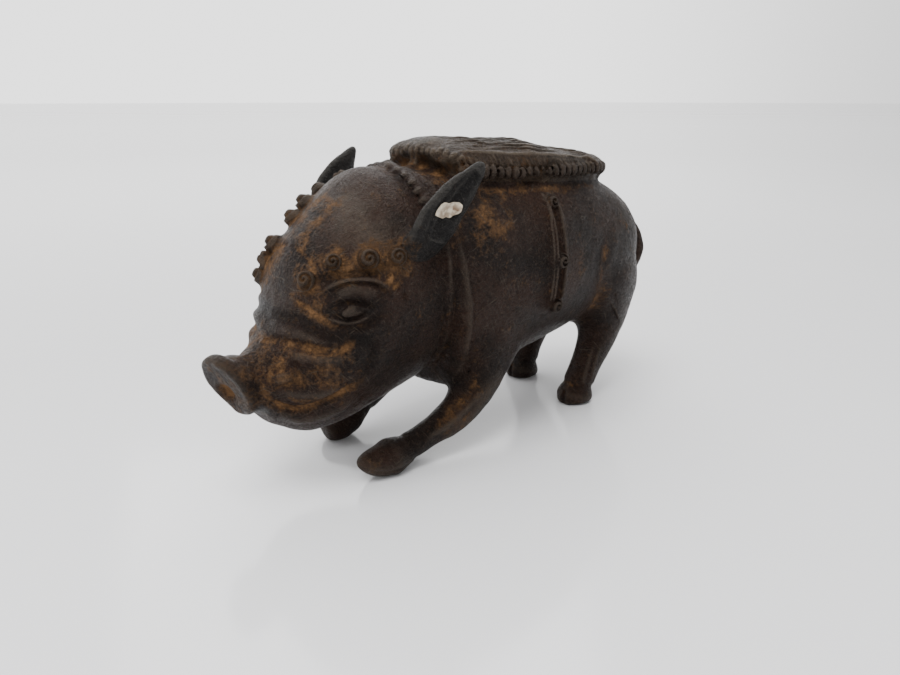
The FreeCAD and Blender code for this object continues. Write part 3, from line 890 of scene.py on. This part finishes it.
def build_object(name, points, quads, normals, hollow):
    mesh = bpy.data.meshes.new(name + "_look")
    mesh.vertices.add(len(points))
    mesh.vertices.foreach_set("co", (points * MM).astype(np.float32).ravel())
    mesh.loops.add(len(quads) * 4)
    mesh.loops.foreach_set("vertex_index", quads.ravel().astype(np.int32))
    mesh.polygons.add(len(quads))
    mesh.polygons.foreach_set("loop_start", np.arange(0, len(quads) * 4, 4, dtype=np.int32))
    mesh.update(calc_edges=True)
    mesh.validate()
    mesh.shade_smooth()
    painted = {channel: paint_values(points, channel) for channel in PAINT}
    painted["dark"] = np.maximum(painted["dark"], DARKER_PIECES.get(name, 0.0))
    painted["hollow"] = hollow
    for key, values in painted.items():
        mesh.attributes.new(key, "FLOAT", "POINT").data.foreach_set("value", values.astype(np.float32))
    mesh.normals_split_custom_set_from_vertices(normals)
    piece = bpy.data.objects.new(name + "_look", mesh)
    bpy.context.scene.collection.objects.link(piece)
    mesh.materials.append(MATERIALS[SLOT_OF[name]])
    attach(piece, "root")
    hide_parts(name)


# ---- materials -------------------------------------------------------------------
class Nodes:
    """Short hand for wiring a material."""

    def __init__(self, name):
        self.material = bpy.data.materials.new(name)
        self.material.use_nodes = True
        self.tree = self.material.node_tree
        self.place = self.add("ShaderNodeTexCoord").outputs["Object"]
        self.shader = next(n for n in self.tree.nodes if n.type == "BSDF_PRINCIPLED")

    def add(self, kind, **values):
        node = self.tree.nodes.new(kind)
        for key, value in values.items():
            setattr(node, key, value)
        return node

    def link(self, source, socket):
        if isinstance(source, (int, float, tuple)):
            socket.default_value = source
        else:
            self.tree.links.new(source, socket)

    def attribute(self, name):
        return self.add("ShaderNodeAttribute", attribute_name=name).outputs["Fac"]

    def noise(self, scale, detail=4.0, rough=0.6, vector=None):
        node = self.add("ShaderNodeTexNoise")
        node.inputs["Scale"].default_value = scale
        node.inputs["Detail"].default_value = detail
        node.inputs["Roughness"].default_value = rough
        self.link(vector or self.place, node.inputs["Vector"])
        return node.outputs["Fac"]

    def math(self, operation, a, b=0.0, clamp=False):
        node = self.add("ShaderNodeMath", operation=operation, use_clamp=clamp)
        self.link(a, node.inputs[0])
        self.link(b, node.inputs[1])
        return node.outputs[0]

    def ramp(self, value, low, high, to_low=0.0, to_high=1.0):
        node = self.add("ShaderNodeMapRange", interpolation_type="SMOOTHSTEP")
        for key, v in zip(("Value", "From Min", "From Max", "To Min", "To Max"),
                          (value, low, high, to_low, to_high)):
            self.link(v, node.inputs[key])
        return node.outputs["Result"]

    def mix(self, share, a, b):
        node = self.add("ShaderNodeMix", data_type="RGBA")
        self.link(share, node.inputs[0])
        self.link(a, node.inputs[6])
        self.link(b, node.inputs[7])
        return node.outputs[2]

    def hatched(self, turn):
        """Coordinates squeezed so that noise on them draws fine strokes at a slant."""
        node = self.add("ShaderNodeMapping", vector_type="TEXTURE")
        node.inputs["Scale"].default_value = (0.0042, 0.0042, 0.00024)
        node.inputs["Rotation"].default_value = (0, turn, 0)
        self.link(self.place, node.inputs["Vector"])
        return node.outputs["Vector"]


def shade_of(colour, share):
    return tuple(share * c for c in colour[:3]) + (1.0,)


def rust_amount(n, medium, fine, sunk):
    """Rust where it is painted and in hollows, broken up by patches."""
    patches = n.math("ADD", n.math("MULTIPLY", medium, 1.1), n.math("MULTIPLY", fine, 0.7))
    patches = n.math("ADD", patches, n.math("MULTIPLY", n.noise(110, 5, 0.7), 0.8))
    amount = n.math("ADD", n.math("MULTIPLY", n.attribute("rust"), 0.75), n.math("MULTIPLY", sunk, 0.14))
    amount = n.math("ADD", amount, n.math("MULTIPLY", n.math("SUBTRACT", patches, 1.3), 1.5))
    return n.ramp(amount, 0.02, 1.0)


def scratches(n):
    """Fine lines at three slants."""
    strokes = [n.noise(1.0, 3, 0.6, n.hatched(turn)) for turn in (0.75, -0.5, 1.15)]
    return n.ramp(n.math("MAXIMUM", n.math("MAXIMUM", *strokes[:2]), strokes[2]), 0.63, 0.7)


def add_bump(n, height):
    bump = n.add("ShaderNodeBump")
    n.link(1.0, bump.inputs["Strength"])
    n.link(0.0007, bump.inputs["Distance"])
    n.link(height, bump.inputs["Height"])
    n.link(bump.outputs["Normal"], n.shader.inputs["Normal"])


def cast_metal(name, deep, warm, grey, rust, rustiness=1.0):
    """Old cast metal: dark satin skin, painted sheen and painted highlights in grey, painted shade in its
    creases, ochre in the hollows, fine slanting scratches.
    """
    n = Nodes(name)
    broad, medium = n.noise(60, 5, 0.65), n.noise(330, 5, 0.7)
    fine, grain = n.noise(1500, 4, 0.75), n.noise(3600, 2, 0.6)
    hollow, lines = n.attribute("hollow"), scratches(n)
    # Painted highlight: grey on ridges, where the surface bulges out.
    ridge_highlight = n.ramp(n.math("MULTIPLY", hollow, -1.0), 0.25, 1.5)
    # Painted sheen: grey where the grey channel is laid, broken up by noise.
    painted_sheen = n.math("MULTIPLY", n.attribute("grey"), n.ramp(medium, 0.3, 0.6, 0.4, 1.0))
    amount = n.math("MULTIPLY", rust_amount(n, medium, fine, n.ramp(hollow, 0.2, 1.1)), rustiness, True)
    colour = n.mix(n.ramp(broad, 0.36, 0.64), deep, warm)
    colour = n.mix(n.ramp(medium, 0.5, 0.72, 0.0, 0.75), colour, shade_of(deep, 0.4))
    # Light grey speckles: partly the metal's own mottling, partly painted glints.
    colour = n.mix(n.ramp(fine, 0.54, 0.7, 0.0, 0.55), colour, grey)
    colour = n.mix(n.ramp(fine, 0.46, 0.36, 0.0, 0.6), colour, shade_of(deep, 0.4))
    # Finest grey speckles: painted glints.
    colour = n.mix(n.ramp(grain, 0.58, 0.74, 0.0, 0.75), colour, grey)
    # Painted sheen laid into the colour.
    colour = n.mix(n.math("MULTIPLY", painted_sheen, 0.8, True), colour, grey)
    colour = n.mix(n.ramp(amount, 0.0, 0.55), colour, shade_of(rust, 0.42))
    colour = n.mix(n.ramp(amount, 0.45, 1.0, 0.0, 0.85), colour, rust)
    # Darker where the dark channel is laid: painted shade in creases, grooves, the eye sockets and the
    # snout's dish, and also the bosses' own darker tone and the ink on the scrap.
    colour = n.mix(n.math("MULTIPLY", n.attribute("dark"), 0.8), colour, shade_of(deep, 0.35))
    # Painted highlight on the ridges.
    colour = n.mix(n.math("MULTIPLY", ridge_highlight, 0.45), colour, grey)
    colour = n.mix(n.math("MULTIPLY", lines, 0.75), colour, grey)
    n.link(colour, n.shader.inputs["Base Color"])
    n.link(n.ramp(amount, 0.0, 0.6, METALLIC, 0.0), n.shader.inputs["Metallic"])
    n.link(SHEEN, n.shader.inputs["Specular IOR Level"])
    rough = n.math("ADD", n.ramp(fine, 0.35, 0.65, 0.5, 0.24), n.math("MULTIPLY", amount, 0.3))
    n.link(rough, n.shader.inputs["Roughness"])
    height = n.math("ADD", n.math("MULTIPLY", fine, 1.1), n.math("MULTIPLY", grain, 0.35))
    height = n.math("ADD", height, n.math("MULTIPLY", medium, 1.2))
    add_bump(n, n.math("SUBTRACT", height, n.math("MULTIPLY", lines, 0.35)))
    return n.material


def paper():
    n = Nodes("paper")
    smudge = n.math("MULTIPLY", n.attribute("dark"), n.ramp(n.noise(900, 4, 0.6), 0.35, 0.6))
    stain = n.math("ADD", n.ramp(n.noise(420, 4, 0.6), 0.5, 0.75, 0.0, 0.4), smudge, True)
    n.link(n.mix(stain, (0.55, 0.48, 0.37, 1), (0.12, 0.065, 0.032, 1)), n.shader.inputs["Base Color"])
    n.link(0.85, n.shader.inputs["Roughness"])
    return n.material


METALLIC, SHEEN = 0.05, 0.1
DEEP, WARM = (0.0068, 0.0039, 0.003, 1), (0.022, 0.0104, 0.0066, 1)
GREY, RUST = (0.066, 0.051, 0.039, 1), (0.155, 0.08, 0.034, 1)
MATERIALS = {
    "body_metal": cast_metal("body_metal", DEEP, WARM, GREY, RUST),
    # The crest gets lighter colours than the body: painted light on the figure's top.
    "crest_metal": cast_metal("crest_metal", (0.016, 0.011, 0.0075, 1), (0.039, 0.025, 0.016, 1),
                              (0.098, 0.076, 0.055, 1), (0.12, 0.062, 0.028, 1)),
    "raised_metal": cast_metal("raised_metal", DEEP, WARM, GREY, RUST),
    "ear_metal": cast_metal("ear_metal", (0.006, 0.0055, 0.0055, 1), (0.011, 0.0095, 0.009, 1),
                            (0.055, 0.051, 0.046, 1), RUST, 0.55),
    "paper": paper(),
}

for name in PIECE_STEP:
    make_piece(name)
make_label()

# ---- floor, light and camera -----------------------------------------------------
FLOOR_REACH = 15.0
FLOOR_COLOUR, FLOOR_ROUGHNESS = (0.70, 0.70, 0.71, 1), 0.14
ROOM_STRENGTH = 2.4
ROOM_BY_HEIGHT = ((0.12, 1.0), (0.3, 0.42), (0.6, 0.45), (0.9, 1.0))    # height of the direction, brightness
DARK_SIDE, DARK_SHARE = (0.79, -0.61, 0.0), 0.45
LAMPS = {"key": ((-0.3, -0.1, 0.8), 0.5, 8.0), "back": ((0.3, 0.5, 0.6), 0.6, 3.0)}     # place, size, watts
LAMP_AIM = Vector((0, 0, 0.03))
CAMERA_AT = Vector((-110.73, -123.5, 75.8)) * MM
CAMERA_TILT = math.radians(18.13)
CAMERA_AIM = Vector((0.660, 0.751, -math.tan(CAMERA_TILT)))
SENSOR, LENS = 36.0, 29.12


def show(name, data):
    thing = bpy.data.objects.new(name, data)
    bpy.context.scene.collection.objects.link(thing)
    return thing


def aim(thing, direction):
    thing.rotation_euler = direction.to_track_quat("-Z", "Y").to_euler()


def lay_floor():
    mesh = bpy.data.meshes.new("floor")
    corners = [(x * FLOOR_REACH, y * FLOOR_REACH, 0) for x, y in ((-1, -1), (1, -1), (1, 1), (-1, 1))]
    mesh.from_pydata(corners, [], [(0, 1, 2, 3)])
    white = Nodes("floor")
    white.link(FLOOR_COLOUR, white.shader.inputs["Base Color"])
    white.link(FLOOR_ROUGHNESS, white.shader.inputs["Roughness"])
    mesh.materials.append(white.material)
    show("floor", mesh)


def light_room():
    """Pale room, brightest at the horizon and overhead, and dimmer on one side."""
    world = bpy.data.worlds.new("studio")
    world.use_nodes = True
    nodes, links = world.node_tree.nodes, world.node_tree.links
    direction = nodes.new("ShaderNodeTexCoord").outputs["Generated"]
    split = nodes.new("ShaderNodeSeparateXYZ")
    links.new(direction, split.inputs[0])
    glow = nodes.new("ShaderNodeValToRGB")
    stops = glow.color_ramp.elements
    for i, (place, value) in enumerate(ROOM_BY_HEIGHT):
        stop = stops[i] if i < 2 else stops.new(place)
        stop.position, stop.color = place, (value, value, value, 1)
    links.new(split.outputs["Z"], glow.inputs["Fac"])
    aside = nodes.new("ShaderNodeVectorMath")
    aside.operation = "DOT_PRODUCT"
    aside.inputs[1].default_value = DARK_SIDE
    links.new(direction, aside.inputs[0])
    shade = nodes.new("ShaderNodeMapRange")
    shade.interpolation_type = "SMOOTHSTEP"
    for key, value in (("From Min", 0.15), ("From Max", 0.75), ("To Min", 1.0), ("To Max", DARK_SHARE)):
        shade.inputs[key].default_value = value
    links.new(aside.outputs["Value"], shade.inputs["Value"])
    dimmed = nodes.new("ShaderNodeVectorMath")
    dimmed.operation = "SCALE"
    links.new(glow.outputs["Color"], dimmed.inputs[0])
    links.new(shade.outputs["Result"], dimmed.inputs["Scale"])
    links.new(dimmed.outputs["Vector"], nodes["Background"].inputs["Color"])
    nodes["Background"].inputs["Strength"].default_value = ROOM_STRENGTH
    bpy.context.scene.world = world


def hang_lamps():
    for name, (place, size, power) in LAMPS.items():
        lamp = bpy.data.lights.new(name, "AREA")
        lamp.size, lamp.energy = size, power
        holder = show(name, lamp)
        holder.location = place
        aim(holder, LAMP_AIM - Vector(place))


def set_camera():
    camera = bpy.data.cameras.new("camera")
    camera.sensor_width, camera.lens = SENSOR, LENS
    viewer = show("camera", camera)
    viewer.location = CAMERA_AT
    aim(viewer, CAMERA_AIM)
    bpy.context.scene.camera = viewer


lay_floor()
light_room()
hang_lamps()
set_camera()
